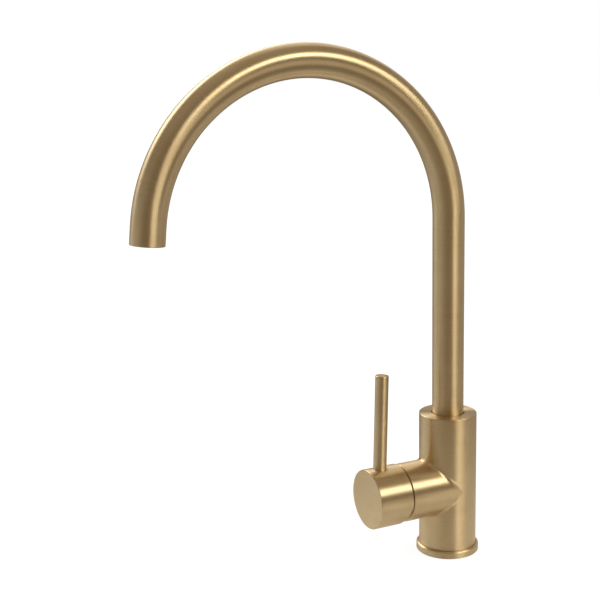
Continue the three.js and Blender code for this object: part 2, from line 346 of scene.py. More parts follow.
ceramicLook = {
    **rubberLook,
    "deep": (0.82, 0.80, 0.75),
    "light": (0.88, 0.87, 0.83),
    "speckColour": (0.74, 0.72, 0.67),
    "edgeHighlightColour": (0.93, 0.92, 0.89),
    "roughness": 0.12,
    "cloudRoughness": 0.08,
    "pits": 5200.0,
    "speckTint": 0.3,
    "bump": 0.05,
}
finishes = {
    "brushed_brass": brushedMetal("brushedBrass", brassLook),
    "raw_brass": brushedMetal("rawBrass", rawBrassLook),
    "steel": brushedMetal("zincSteel", steelLook),
    "rubber": mouldedStuff("rubber", rubberLook),
    "pale_polymer": mouldedStuff("palePolymer", palePolymerLook),
    "dark_polymer": mouldedStuff("darkPolymer", darkPolymerLook),
    "ceramic": mouldedStuff("ceramic", ceramicLook),
}
print("materials made:", len(finishes))


# A shape turned round Z from an outline of radius and height. An open outline starts and ends on the axis.
def turnedShape(outline, steps=96, closed=True):
    shape = bmesh.new()
    corners = [shape.verts.new((radius, 0, height)) for radius, height in outline]
    following = corners[1:] + corners[:1] if closed else corners[1:]
    edges = [shape.edges.new(pair) for pair in zip(corners, following)]
    bmesh.ops.spin(
        shape, geom=corners + edges, cent=(0, 0, 0), axis=(0, 0, 1), angle=math.tau, steps=steps,
        use_merge=True,
    )
    cleaned(shape)
    return shape


def cleaned(shape, gap=0.0002):
    bmesh.ops.remove_doubles(shape, verts=shape.verts, dist=gap)
    bmesh.ops.dissolve_degenerate(shape, edges=shape.edges, dist=gap)
    bmesh.ops.recalc_face_normals(shape, faces=shape.faces)


def rimEdges(shape, radius, height, place=upright, slack=0.02):
    inverse = place.inverted()

    def onRim(vert):
        local = inverse @ vert.co
        return abs(math.hypot(local.x, local.y) - radius) < slack and abs(local.z - height) < slack

    return [edge for edge in shape.edges if all(onRim(vert) for vert in edge.verts)]


def roundEdges(shape, edges, size, segments):
    bmesh.ops.bevel(
        shape, geom=edges, offset=size, offset_type="OFFSET", segments=segments, profile=0.5,
        affect="EDGES", clamp_overlap=True, material=-1,
    )


def roundRim(shape, radius, height, size, segments, place=upright, slack=0.02):
    roundEdges(shape, rimEdges(shape, radius, height, place, slack), size, segments)


def vertsIn(items):
    return [item for item in items if isinstance(item, bmesh.types.BMVert)]


def edgesIn(items):
    return [item for item in items if isinstance(item, bmesh.types.BMEdge)]


def rodShape(radius, low, high, steps=48):
    return turnedShape([(0, low), (radius, low), (radius, high), (0, high)], steps, closed=False)


def boxShape(size, centre):
    shape = bmesh.new()
    placing = Matrix.Translation(centre) @ Matrix.Diagonal((*size, 1))
    bmesh.ops.create_cube(shape, size=1, matrix=placing)
    return shape


def moved(shape, place):
    bmesh.ops.transform(shape, matrix=place, verts=shape.verts)
    return shape


def scratchObject(name, shape):
    mesh = bpy.data.meshes.new(name)
    shape.to_mesh(mesh)
    shape.free()
    scratch = bpy.data.objects.new(name, mesh)
    bpy.context.scene.collection.objects.link(scratch)
    return scratch


def carved(shape, tools, operation="DIFFERENCE"):
    work = scratchObject("work", shape)
    cutters = [scratchObject("cutter", tool) for tool in tools]
    for cutter in cutters:
        step = work.modifiers.new("carve", "BOOLEAN")
        step.operation = operation
        step.solver = "EXACT"
        step.object = cutter
    bpy.context.view_layer.update()
    result = bmesh.new()
    result.from_object(work, bpy.context.evaluated_depsgraph_get())
    for scratch in (work, *cutters):
        mesh = scratch.data
        bpy.data.objects.remove(scratch)
        bpy.data.meshes.remove(mesh)
    cleaned(result)
    return result


# A point in the part's own frame, with Z along the axis that the part is turned on.
def turningFrame(place):
    inverse = place.inverted()
    return lambda point, face: inverse @ point


brushChart = {
    "flatEnd": 0.98,  # a face this square to the axis is a flat end
    "axisGap": 0.01,
    "turnScale": 10,
}
sharpAngle = 33  # an edge that folds less than this is shaded smooth


# Brushing lines follow a turned surface: around its axis, and spaced along its outline.
def mapBrushing(mesh, pathOf, straightEnds):
    flow = mesh.attributes.new("turningPath", "FLOAT_VECTOR", "CORNER")
    chart = mesh.uv_layers.new(name="brushUv")
    for face in mesh.polygons:
        local = [pathOf(mesh.vertices[index].co / millimetre, face) for index in face.vertices]
        level = (local[1] - local[0]).cross(local[2] - local[1]).normalized()
        if straightEnds and abs(level.z) > brushChart["flatEnd"]:
            for corner, point in zip(face.loop_indices, local):
                flow.data[corner].vector = (point.x, 0, point.y)
                chart.data[corner].uv = (point.x, point.y)
            continue
        middle = sum(local, Vector()) / len(local)
        facing = math.atan2(middle.y, middle.x)
        for corner, point in zip(face.loop_indices, local):
            radius = math.hypot(point.x, point.y)
            turn = math.atan2(point.y, point.x) if radius > brushChart["axisGap"] else facing
            turn = facing + (turn - facing + math.pi) % math.tau - math.pi
            spacing = point.z - radius
            flow.data[corner].vector = (point.x, point.y, spacing)
            chart.data[corner].uv = (turn * brushChart["turnScale"], spacing)


def addPiece(name, shape, place, pathOf, finish, body, *nodes, straightEnds=False):
    moved(shape, Matrix.Scale(millimetre, 4) @ place)
    for face in shape.faces:
        face.smooth = True
    for edge in shape.edges:
        edge.smooth = len(edge.link_faces) == 2 and edge.calc_face_angle(0) < math.radians(sharpAngle)
    mesh = bpy.data.meshes.new(name)
    shape.to_mesh(mesh)
    shape.free()
    mapBrushing(mesh, pathOf, straightEnds)
    mesh.materials.append(finishes[finish])
    piece = bpy.data.objects.new(name, mesh)
    bpy.context.scene.collection.objects.link(piece)
    weighted = piece.modifiers.new("evenShading", "WEIGHTED_NORMAL")
    weighted.keep_sharp = True
    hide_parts(*nodes)
    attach(piece, body)
    print("piece:", name, len(mesh.polygons), "faces")


def shapedPiece(name, shape, place, finish, body, node):
    addPiece(name, shape, place, turningFrame(place), finish, body, node)


def turnedPiece(name, sizes, place, finish, body, node):
    shape = turnedShape(sizes["outline"], sizes.get("steps", 96), sizes.get("closed", True))
    for rim in sizes.get("rounded", []):
        roundRim(shape, *rim)
    shapedPiece(name, shape, place, finish, body, node)


# Column and side boss: two round bars of one size that meet at 45 degrees.
bodyShell = {
    "sides": 128,
    "rim": 0.7,
    "bossRim": 0.5,
    "mouthRim": 0.3,
    "crease": 2.2,
    "creaseEnds": 14,
    "socketRadius": 13.3,
    "socketFloor": 103,
    "spigotRadius": 11.5,
    "spigotFloor": 78,
    "boreRadius": 18.2,
    "boreFloor": 12,
    "inletUp": 5,
    "outletUp": -8.5,
    "channelRadius": 3.2,
    "channelSide": 7.5,
    "risingRadius": 4.5,
    "risingBack": 8,
    "inletRadius": 4,
    "inletMouth": 4.9,
    "inletSide": 9,
    "mouthDepth": 12,
    "grooveInner": 18.6,
    "grooveOuter": 21.6,
    "grooveDepth": 1.7,
    "studHole": 4.2,
    "studDepth": 13,
    "screwHole": 2.65,
    "screwFrom": 11,
    "screwTo": 24,
}


# A flat face is inset and pushed in; its floor is returned, so that it can be sunk again.
def sunk(shape, cap, inset, depth):
    bmesh.ops.inset_region(shape, faces=[cap], thickness=inset, use_even_offset=True)
    grown = bmesh.ops.extrude_face_region(shape, geom=[cap])["geom"]
    floor = [item for item in grown if isinstance(item, bmesh.types.BMFace)][0]
    bmesh.ops.translate(shape, vec=-floor.normal * depth, verts=vertsIn(grown))
    if cap.is_valid and cap is not floor:
        bmesh.ops.delete(shape, geom=[cap], context="FACES_ONLY")
    return floor


# Waterways, inlets, seal groove, stud hole and grub screw hole, each a little past its mouth.
def bodyCuts(sizes):
    inletTop = axisHeight + sizes["inletUp"]
    outlet = axisHeight + sizes["outletUp"]
    inner, outer, groove = sizes["grooveInner"], sizes["grooveOuter"], sizes["grooveDepth"]

    def upward(radius, low, high, x=0.0, y=0.0):
        return moved(rodShape(radius, low, high, 40), Matrix.Translation((x, y, 0)))

    def channel(x, height, back):
        frontwards = Matrix.Translation((x, 0, height)) @ Matrix.Rotation(math.radians(90), 4, "X")
        return moved(rodShape(sizes["channelRadius"], -back, sizes["boreFloor"] + 0.5, 32), frontwards)

    cuts = [
        upward(sizes["risingRadius"], outlet, sizes["socketFloor"] + 1, y=sizes["risingBack"]),
        channel(0, outlet, sizes["risingBack"]),
        turnedShape([(inner, -1), (outer, -1), (outer, groove), (inner, groove)]),
        moved(rodShape(sizes["studHole"], -1, sizes["studDepth"], 40), studPlace),
        moved(rodShape(sizes["screwHole"], sizes["screwFrom"], sizes["screwTo"], 40), backScrew),
    ]
    for side in (-1, 1):
        x = side * sizes["inletSide"]
        cuts.append(upward(sizes["inletRadius"], -1, inletTop + 2, x))
        cuts.append(upward(sizes["inletMouth"], -1, sizes["mouthDepth"], x))
        cuts.append(channel(side * sizes["channelSide"], inletTop, 0))
    return cuts


def buildBody(sizes):
    shell = bmesh.new()
    touch = 0.001  # nearer than this is on the plane

    def addBar(length, place):
        bmesh.ops.create_cone(
            shell, cap_ends=True, segments=sizes["sides"], radius1=columnRadius, radius2=columnRadius,
            depth=length, matrix=place @ Matrix.Translation((0, 0, length / 2)),
        )

    # Both bars are cut along the two planes at 45 degrees where their surfaces meet.
    def cutBoth(faces):
        for tilt in (1, -1):
            walls = faces()
            touched = list({item for face in walls for item in (*face.verts, *face.edges)})
            bmesh.ops.bisect_plane(
                shell, geom=walls + touched, dist=0.1 * touch, plane_co=(0, 0, axisHeight),
                plane_no=(0, 1, tilt),
            )

    def behindCrease(point):
        return point.y + abs(point.z - axisHeight)

    addBar(columnHeight, upright)
    cutBoth(lambda: [f for f in shell.faces if abs(f.normal.z) < 0.5 and f.calc_center_median().y < -0.01])
    removed = [
        f for f in shell.faces if abs(f.normal.z) < 0.5 and behindCrease(f.calc_center_median()) < -touch
    ]
    bmesh.ops.delete(shell, geom=removed, context="FACES")
    columnFaces = set(shell.faces)
    addBar(bossReach, alongBoss)
    cutBoth(lambda: [f for f in shell.faces if f not in columnFaces and abs(f.normal.y) < 0.5])
    removed = [
        f for f in shell.faces if f not in columnFaces and behindCrease(f.calc_center_median()) > -touch
    ]
    bmesh.ops.delete(shell, geom=removed, context="FACES")
    cleaned(shell, touch)

    def onCrease(vert):
        return abs(behindCrease(vert.co)) < 5 * touch and vert.co.y < -0.01

    crease = [
        edge for edge in shell.edges
        if all(onCrease(vert) for vert in edge.verts)
        and edge.calc_face_angle(0) > math.radians(sizes["creaseEnds"])
    ]
    print("crease edges:", len(crease))
    roundEdges(shell, crease, sizes["crease"], 5)
    roundRim(shell, columnRadius, columnHeight, sizes["rim"], 4)
    roundRim(shell, columnRadius, 0, sizes["rim"], 3)
    roundRim(shell, columnRadius, bossReach, sizes["bossRim"], 4, alongBoss)

    socket, well, bore = sizes["socketRadius"], sizes["spigotRadius"], sizes["boreRadius"]
    top = max((f for f in shell.faces if f.normal.z > 0.9), key=lambda f: f.calc_area())
    step = sunk(shell, top, columnRadius - sizes["rim"] - socket, columnHeight - sizes["socketFloor"])
    sunk(shell, step, socket - well, sizes["socketFloor"] - sizes["spigotFloor"])
    mouth = max((f for f in shell.faces if f.normal.y < -0.9), key=lambda f: f.calc_area())
    sunk(shell, mouth, columnRadius - sizes["bossRim"] - bore, bossReach - sizes["boreFloor"])
    roundRim(shell, socket, columnHeight, sizes["mouthRim"], 3, slack=0.05)
    roundRim(shell, bore, bossReach, sizes["mouthRim"], 3, alongBoss, 0.05)
    cleaned(shell)
    return carved(shell, bodyCuts(sizes))


# Brushed round the boss in front of the crease, and round the column elsewhere.
def bodyPath(point, face):
    centre = face.center / millimetre
    if centre.y + abs(centre.z - axisHeight) < 0.3:
        return alongBoss.inverted() @ point
    return point.copy()


addPiece("bodyShell", buildBody(bodyShell), upright, bodyPath, "brushed_brass", "body", "mixer_body")

# Base ring, cover ring over the cartridge nut, and the soft bush in the socket.
baseRing = {
    "outline": [(23.3, 0), (ringHigh.x, 0), (ringHigh.x, ringHigh.z), (23.3, ringHigh.z)],
    "rounded": [(ringHigh.x, ringHigh.z, 1.55, 8), (ringHigh.x, 0, 0.5, 3)],
    "steps": 128,
}
turnedPiece("baseRing", baseRing, upright, "brushed_brass", "body", "base_ring")

coverRing = {
    "outline": [(17.7, 45.1), (20.4, 45.1), (20.4, 49), (12.9, 49), (12.9, 47.7), (17.7, 47.7)],
    "rounded": [(20.4, 49, 1.5, 6), (12.9, 49, 0.3, 3)],
}
turnedPiece("coverRing", coverRing, alongBoss, "brushed_brass", "body", "cartridge_cover")

socketBush = {
    "outline": [(12.7, 105), (13.1, 105), (13.1, 115), (12.7, 115)],
    "rounded": [(12.7, 115, 0.12, 2), (13.1, 115, 0.12, 2)],
}
turnedPiece("socketBush", socketBush, upright, "dark_polymer", "body", "spout_bush")


# Gooseneck: a straight rise, one wide bend and a short straight tail.
tubeRadius = 12.5
bendRadius = 122
gooseneck = {
    "radius": tubeRadius,
    "wall": 1.3,
    "foot": tubeLow.z,
    "bendHeight": tubeHigh.z - tubeRadius - bendRadius,
    "bendRadius": bendRadius,
    "bendAngle": 174,
    "tail": 12.7,
    "sides": 72,
    "riseSteps": 12,
    "steps": 116,
    "tailSteps": 3,
    "lip": 0.35,
}


def buildTube(sizes):
    tube = bmesh.new()
    bmesh.ops.create_circle(
        tube, cap_ends=False, segments=sizes["sides"], radius=sizes["radius"],
        matrix=Matrix.Translation((0, 0, sizes["foot"])),
    )

    def pushed(edges, offset):
        grown = bmesh.ops.extrude_edge_only(tube, edges=edges)["geom"]
        bmesh.ops.translate(tube, vec=offset, verts=vertsIn(grown))
        return edgesIn(grown)

    ring = list(tube.edges)
    lift = Vector((0, 0, (sizes["bendHeight"] - sizes["foot"]) / sizes["riseSteps"]))
    for _ in range(sizes["riseSteps"]):
        ring = pushed(ring, lift)
    verts = list({vert for edge in ring for vert in edge.verts})
    bend = math.radians(sizes["bendAngle"])
    spun = bmesh.ops.spin(
        tube, geom=verts + ring, cent=(0, -sizes["bendRadius"], sizes["bendHeight"]), axis=(1, 0, 0),
        angle=bend, steps=sizes["steps"],
    )
    ring = edgesIn(spun["geom_last"])
    down = Vector((0, -math.sin(bend), math.cos(bend))) * sizes["tail"] / sizes["tailSteps"]
    for _ in range(sizes["tailSteps"]):
        ring = pushed(ring, down)
    cleaned(tube)
    bmesh.ops.solidify(tube, geom=tube.faces, thickness=sizes["wall"])
    lips = [
        edge for edge in tube.edges
        if edge.calc_face_angle(0) > math.radians(60)
        and all(vert.co.y < -sizes["bendRadius"] for vert in edge.verts)
    ]
    roundEdges(tube, lips, sizes["lip"], 3)
    return tube


# The tube's length unrolled: the bend becomes a straight run, so brushing goes round it everywhere.
def tubePath(point, face):
    rise = gooseneck["bendHeight"]
    if point.z < rise and point.y > -gooseneck["bendRadius"]:
        return Vector((point.x, point.y, point.z))
    across = point.y + gooseneck["bendRadius"]
    turn = math.atan2(point.z - rise, across)
    if turn < -math.pi / 2:
        turn += math.tau
    limit = math.radians(gooseneck["bendAngle"])
    out = math.hypot(across, point.z - rise) - gooseneck["bendRadius"]
    extra = 0
    if turn > limit:
        end = Vector((0, math.cos(limit), math.sin(limit)))
        forward = Vector((0, -math.sin(limit), math.cos(limit)))
        offset = Vector((0, across, point.z - rise))
        out = offset.dot(end) - gooseneck["bendRadius"]
        extra = offset.dot(forward)
        turn = limit
    return Vector((point.x, out, rise + turn * gooseneck["bendRadius"] + extra))


print("tube bend height:", round(gooseneck["bendHeight"], 2))
addPiece("gooseneck", buildTube(gooseneck), upright, tubePath, "brushed_brass", "spout", "spout_tube")

# Lever hub: a deep cap with a post for the stem and a pillar for the pin.
leverHub = {
    "radius": hubHigh.x,
    "rear": -hubHigh.y,
    "front": -hubLow.y,
    "rim": 0.7,
    "rearRim": 0.35,
    "wall": 1.6,
    "wallStep": 57,
    "face": 3.5,
    "postRadius": 8.5,
    "postFrom": 54,
    "pillarRadius": 8,
    "pillarReach": 21.6,
    "stemHole": (8.6, 8.6, 16),
    "stemHoleAlong": 60.8,
    "reliefAngle": 18,
    "reliefStart": -3,
    "reliefDepth": 25,
    "pinAlong": 64,
    "pinLean": 2,
    "pinHoles": [(5.4, 20.1, 27, 64), (3.2, 5.5, 20.6, 32), (2.65, -27, -4, 32)],
}
pinLine = Matrix.Translation((0, 0, leverHub["pinAlong"])) @ Matrix.Rotation(
    math.radians(-90 - leverHub["pinLean"]), 4, "X",
)


# The wedge cut from the hub's lower rear, so that it clears the boss as the lever tips forward.
def buildRelief(sizes):
    rear, start, depth = sizes["rear"], sizes["reliefStart"], sizes["reliefDepth"]
    slope = math.tan(math.radians(sizes["reliefAngle"]))
    halfWidth, overrun = 30, 4
    profile = [
        (rear - overrun, start), (rear - overrun, -depth), (rear + (depth + start) * slope, -depth),
        (rear, start),
    ]
    wedge = bmesh.new()
    face = wedge.faces.new([wedge.verts.new((-halfWidth, height, reach)) for reach, height in profile])
    grown = bmesh.ops.extrude_face_region(wedge, geom=[face], use_keep_orig=True)["geom"]
    bmesh.ops.translate(wedge, vec=(2 * halfWidth, 0, 0), verts=vertsIn(grown))
    bmesh.ops.recalc_face_normals(wedge, faces=wedge.faces)
    return wedge


def buildHub(sizes):
    radius, rear, front = sizes["radius"], sizes["rear"], sizes["front"]
    inner, narrow = radius - sizes["wall"], radius - 2 * sizes["wall"]
    step, ceiling = sizes["wallStep"], front - sizes["face"]
    outline = [
        (0, front), (radius, front), (radius, rear), (inner, rear), (inner, step), (narrow, step),
        (narrow, ceiling), (0, ceiling),
    ]
    shell = turnedShape(outline, 128, closed=False)
    roundRim(shell, radius, front, sizes["rim"], 4)
    roundRim(shell, radius, rear, sizes["rearRim"], 3)
    post = rodShape(sizes["postRadius"], sizes["postFrom"], ceiling + 1, 64)
    reach = sizes["pillarReach"]
    pillar = moved(rodShape(sizes["pillarRadius"], -reach, reach, 64), pinLine)
    shell = carved(shell, [post, pillar], "UNION")
    holes = [moved(rodShape(*hole), pinLine) for hole in sizes["pinHoles"]]
    stemHole = boxShape(sizes["stemHole"], (0, 0, sizes["stemHoleAlong"]))
    return carved(shell, [stemHole, *holes, buildRelief(sizes)])


addPiece(
    "leverHub", buildHub(leverHub), alongBoss, turningFrame(alongBoss), "brushed_brass", "handle",
    "handle_hub", straightEnds=True,
)

# The pin lever, from its thread in the hub to its tip.
pinRadius, pinThread = 5.25, 2.9
pinFoot, pinShoulder, pinTop = 6, 20.4, 99.4
leverPin = {
    "outline": [
        (0, pinFoot), (pinThread, pinFoot), (pinThread, pinShoulder), (pinRadius, pinShoulder),
        (pinRadius, pinTop), (0, pinTop),
    ],
    "closed": False,
    "rounded": [(pinRadius, pinTop, 0.8, 4), (pinRadius, pinShoulder, 0.2, 2)],
    "steps": 64,
}
turnedPiece("leverPin", leverPin, alongBoss @ pinLine, "brushed_brass", "handle", "lever_pin")


# Round holes straight through a disc, given as x, y and radius.
def drilled(shape, holes, low, high):
    return carved(shape, [
        moved(rodShape(radius, low - 1, high + 1, 40), Matrix.Translation((x, y, 0)))
        for x, y, radius in holes
    ])


def discShape(radius, low, high, rounding, steps=96):
    shape = rodShape(radius, low, high, steps)
    for height in (low, high):
        roundRim(shape, radius, height, rounding, 2)
    return shape


def ringPoints(radius, thickness, height, count=20):
    turns = [math.tau * i / count for i in range(count)]
    return [(radius + thickness * math.cos(turn), height + thickness * math.sin(turn)) for turn in turns]


# Seals and bearings of the swivelling spout.
baseSeal = {
    "outline": [(18.9, 0), (21.3, 0), (21.3, 1.4), (18.9, 1.4)],
    "rounded": [(18.9, 0, 0.3, 3), (21.3, 0, 0.3, 3)],
}
glideWasher = {
    "outline": [(11.3, 103.2), (13, 103.2), (13, 104.3), (11.3, 104.3)],
    "rounded": [(13, 104.3, 0.2, 2)],
}
lowerSeal = {"outline": ringPoints(10.28, 1.08, 85.5)}
upperSeal = {"outline": ringPoints(10.28, 1.08, 99.5)}
turnedPiece("baseSeal", baseSeal, upright, "rubber", "body", "base_seal")
turnedPiece("glideWasher", glideWasher, upright, "pale_polymer", "body", "glide_washer")
turnedPiece("lowerSeal", lowerSeal, upright, "rubber", "spout", "spigot_seal_lower")
turnedPiece("upperSeal", upperSeal, upright, "rubber", "spout", "spigot_seal_upper")

# The spigot turns in the body; its collar rests on the glide washer and its sleeve is in the tube.
spigot = {
    "radius": 10.6,
    "waterway": 7.5,
    "foot": 80,
    "grooves": [(84, 87, 9), (89.5, 95.5, 9.3), (98, 101, 9)],
    "collarRadius": 12.4,
    "collarLow": 104.6,
    "collarHigh": 105.7,
    "sleeveRadius": 10.9,
    "top": 118,
    "rim": 0.4,
    "grooveRim": 0.25,
}


def buildSpigot(sizes):
    radius, waterway, foot, top = sizes["radius"], sizes["waterway"], sizes["foot"], sizes["top"]
    collar, low, high = sizes["collarRadius"], sizes["collarLow"], sizes["collarHigh"]
    sleeve = sizes["sleeveRadius"]
    outline = [(waterway, foot), (radius, foot)]
    for start, end, depth in sizes["grooves"]:
        outline += [(radius, start), (depth, start), (depth, end), (radius, end)]
    outline += [(radius, low), (collar, low), (collar, high), (sleeve, high), (sleeve, top), (waterway, top)]
    shape = turnedShape(outline)
    roundRim(shape, radius, foot, sizes["rim"], 2)
    roundRim(shape, sleeve, top, sizes["rim"], 2)
    for start, end, depth in sizes["grooves"]:
        rims = rimEdges(shape, depth, start) + rimEdges(shape, depth, end)
        roundEdges(shape, rims, sizes["grooveRim"], 2)
    return shape


shapedPiece("spigot", buildSpigot(spigot), upright, "raw_brass", "spout", "spout_spigot")

# Grub screws: chamfered ends, a hexagon socket and a thread.
grubScrew = {"radius": 2.4, "pitch": 0.8, "depth": 0.22, "socket": 1.45, "socketDepth": 2.6, "end": 0.5}


def threadOutline(radius, low, high, pitch, depth, end):
    outline = [(0, low), (radius - end, low), (radius, low + end)]
    turns = int((high - low - 2 * end) / pitch)
    for turn in range(turns):
        height = low + end + (turn + 0.25) * pitch
        outline += [(radius, height), (radius - depth, height + pitch * 0.3), (radius, height + pitch * 0.6)]
    return outline + [(radius, high - end), (radius - end, high), (0, high)]


def buildGrub(sizes, low, high, socketHigh):
    outline = threadOutline(sizes["radius"], low, high, sizes["pitch"], sizes["depth"], sizes["end"])
    overrun = 1
    inwards = (sizes["socketDepth"] - overrun) / 2
    key = bmesh.new()
    bmesh.ops.create_cone(
        key, cap_ends=True, segments=6, radius1=sizes["socket"], radius2=sizes["socket"],
        depth=sizes["socketDepth"] + overrun,
        matrix=Matrix.Translation((0, 0, high - inwards if socketHigh else low + inwards)),
    )
    return carved(turnedShape(outline, 40, closed=False), [key])


spoutScrew = buildGrub(grubScrew, 9.8, 22.2, True)
shapedPiece("spoutScrew", spoutScrew, backScrew, "steel", "body", "spout_set_screw")
leverScrew = buildGrub(grubScrew, -13, -4.6, False)
shapedPiece("leverScrew", leverScrew, alongBoss @ pinLine, "steel", "handle", "hub_set_screw")

# Fixing kit below the worktop.
fixing = {
    "studRadius": 3.9,
    "pitch": 1.25,
    "threadDepth": 0.5,
    "studLow": -62,
    "studHigh": 12,
    "plateRadius": 24,
    "slot": 12,
    "slotEnd": 6,
    "hole": 4.3,
    "nutCorner": 7.2,
    "nutBore": 4.15,
    "studEnd": 0.6,
    "rubberRounding": 0.5,
    "steelRounding": 0.25,
}
stud = turnedShape(
    threadOutline(
        fixing["studRadius"], fixing["studLow"], fixing["studHigh"], fixing["pitch"],
        fixing["threadDepth"], fixing["studEnd"],
    ), 40, closed=False,
)
shapedPiece("fixingStud", stud, studPlace, "steel", "body", "fixing_stud")


def buildHorseshoe(sizes, node, rounding):
    low, high = (corner.z for corner in boxOf(node))
    plate = discShape(sizes["plateRadius"], low, high, rounding, 128)
    width, reach = 2 * sizes["slot"], 40
    slot = boxShape((width, reach, high - low + 4), (0, sizes["slotEnd"] - reach / 2, (low + high) / 2))
    hole = moved(rodShape(sizes["hole"], low - 1, high + 1, 48), studPlace)
    return carved(plate, [slot, hole])


rubberPlate = buildHorseshoe(fixing, "rubber_horseshoe", fixing["rubberRounding"])
shapedPiece("rubberHorseshoe", rubberPlate, upright, "rubber", "body", "rubber_horseshoe")
steelPlate = buildHorseshoe(fixing, "steel_horseshoe", fixing["steelRounding"])
shapedPiece("steelHorseshoe", steelPlate, upright, "steel", "body", "steel_horseshoe")

# Chamfers of a hexagon nut: how far the corners and the bore's mouths are turned away.
nutChamfer = {"inside": 1, "outside": 0.6, "drop": 0.9, "mouth": 1.6, "mouthDrop": 0.6}


def buildNut(corner, hole, low, high):
    nut = bmesh.new()
    bmesh.ops.create_cone(
        nut, cap_ends=True, segments=6, radius1=corner, radius2=corner, depth=high - low,
        matrix=Matrix.Translation((0, 0, (low + high) / 2)) @ Matrix.Rotation(math.radians(30), 4, "Z"),
    )
    narrow, wide, drop = corner - nutChamfer["inside"], corner + nutChamfer["outside"], nutChamfer["drop"]
    facing = turnedShape(
        [(0, low), (narrow, low), (wide, low + drop), (wide, high - drop), (narrow, high), (0, high)],
        96, closed=False,
    )
    nut = carved(nut, [facing], "INTERSECT")
    flare, mouthDrop = hole + nutChamfer["mouth"], nutChamfer["mouthDrop"]
    mouth = turnedShape(
        [
            (0, low - 1), (flare, low - 1), (hole, low + mouthDrop), (hole, high - mouthDrop),
            (flare, high + 1), (0, high + 1),
        ],
        64, closed=False,
    )
    return carved(nut, [mouth])


nutLow, nutHigh = (corner.z for corner in boxOf("stud_nut"))
studNut = buildNut(fixing["nutCorner"], fixing["nutBore"], nutLow, nutHigh)
shapedPiece("studNut", studNut, studPlace, "steel", "body", "stud_nut")

# The cartridge, from the port gasket outwards. Heights run out along the boss.
cartridge = {
    "ports": [(-7.5, 5), (7.5, 5), (0, -8.5)],
    "nutCorner": 17.2,
    "nutBore": 13.9,
    "nutHead": (42.2, 47.4),
    "collarRadius": 18,
    "collarLow": 35.3,
    "collarHigh": 42.5,
    "pivot": 40,
    "crossHole": 1.7,
    "neckRadius": 11.3,
    "neckTop": 43.5,
    "stemSlot": (7.5, 17.2, 16),
    "stemSlotAlong": 38,
}
portedDiscs = {
    "portGasket": {"radius": 14, "ends": (12.2, 13.2), "rounding": 0.25, "port": 3.6},
    "cartridgeBase": {"radius": 17.3, "ends": (13.4, 18.4), "rounding": 0.5, "port": 3.2},
    "fixedDisc": {"radius": 12.4, "ends": (18.7, 22.6), "rounding": 0.3, "port": 2.8},
}
for title, finish, node in (
    ("portGasket", "rubber", "port_gasket"),
    ("cartridgeBase", "pale_polymer", "cartridge_base"),
    ("fixedDisc", "ceramic", "fixed_disc"),
):
    sizes = portedDiscs[title]
    blank = discShape(sizes["radius"], *sizes["ends"], sizes["rounding"])
    disc = drilled(blank, [(x, y, sizes["port"]) for x, y in cartridge["ports"]], *sizes["ends"])
    shapedPiece(title, disc, alongBoss, finish, "body", node)
housing = {
    "outline": [
        (14.6, 18.7), (17.3, 18.7), (17.3, 35), (13.6, 35), (13.6, 43), (11.6, 43), (11.6, 33), (14.6, 33),
    ],
    "rounded": [(17.3, 35, 0.6, 3), (17.3, 18.7, 0.3, 2), (13.6, 43, 0.3, 2)],
}
turnedPiece("cartridgeHousing", housing, alongBoss, "pale_polymer", "body", "cartridge_housing")


def buildCartridgeNut(sizes):
    bore, radius, low, high = sizes["nutBore"], sizes["collarRadius"], sizes["collarLow"], sizes["collarHigh"]
    collar = turnedShape([(bore, low), (radius, low), (radius, high), (bore, high)])
    roundEdges(collar, rimEdges(collar, radius, low) + rimEdges(collar, radius, high), 0.35, 2)
    head = buildNut(sizes["nutCorner"], bore, *sizes["nutHead"])
    return carved(collar, [head], "UNION")


shapedPiece("cartridgeNut", buildCartridgeNut(cartridge), alongBoss, "raw_brass", "body", "cartridge_nut")

crossways = Matrix.Rotation(math.radians(90), 4, "Y")
pinAcross = Matrix.Translation((0, 0, cartridge["pivot"])) @ crossways


def buildRotor(sizes):
    neck, top = sizes["neckRadius"], sizes["neckTop"]
    outline = [(0, 31.9), (14.2, 31.9), (14.2, 32.7), (neck, 32.7), (neck, top), (0, top)]
    rotor = turnedShape(outline, closed=False)
    roundRim(rotor, neck, top, 0.5, 3)
    slot = boxShape(sizes["stemSlot"], (0, 0, sizes["stemSlotAlong"]))
    return carved(rotor, [slot, moved(rodShape(sizes["crossHole"], -12, 12, 40), pinAcross)])


shapedPiece("cartridgeRotor", buildRotor(cartridge), alongBoss, "pale_polymer", "rotor", "cartridge_rotor")
stemPin = discShape(1.5, -10.5, 10.5, 0.2, 40)
shapedPiece("stemPin", stemPin, alongBoss @ pinAcross, "steel", "rotor", "stem_pin")

slidingDisc = carved(discShape(11.4, 22.8, 27.7, 0.25), [boxShape((15.2, 8, 3.2), (0, -3, 23.4))])
shapedPiece("slidingDisc", slidingDisc, alongBoss, "ceramic", "disc", "moving_disc")
discCarrier = carved(discShape(11.4, 27.9, 31.5, 0.3), [boxShape((7.6, 4.7, 4), (0, 0, 30.4))])
shapedPiece("discCarrier", discCarrier, alongBoss, "pale_polymer", "disc", "disc_carrier")

# The lever stem: round tip, flat blade through the rotor, square end in the hub.
leverStem = {
    "tipRadius": 2,
    "tipReach": 3,
    "tipAlong": 30.6,
    "waist": ((7, 3.2, 6.2), 33.7),
    "blade": ((7, 7.2, 10.7), 41.65),
    "square": ((8, 8, 22), 57.2),
    "corner": 0.5,
    "pinHole": 1.75,
}


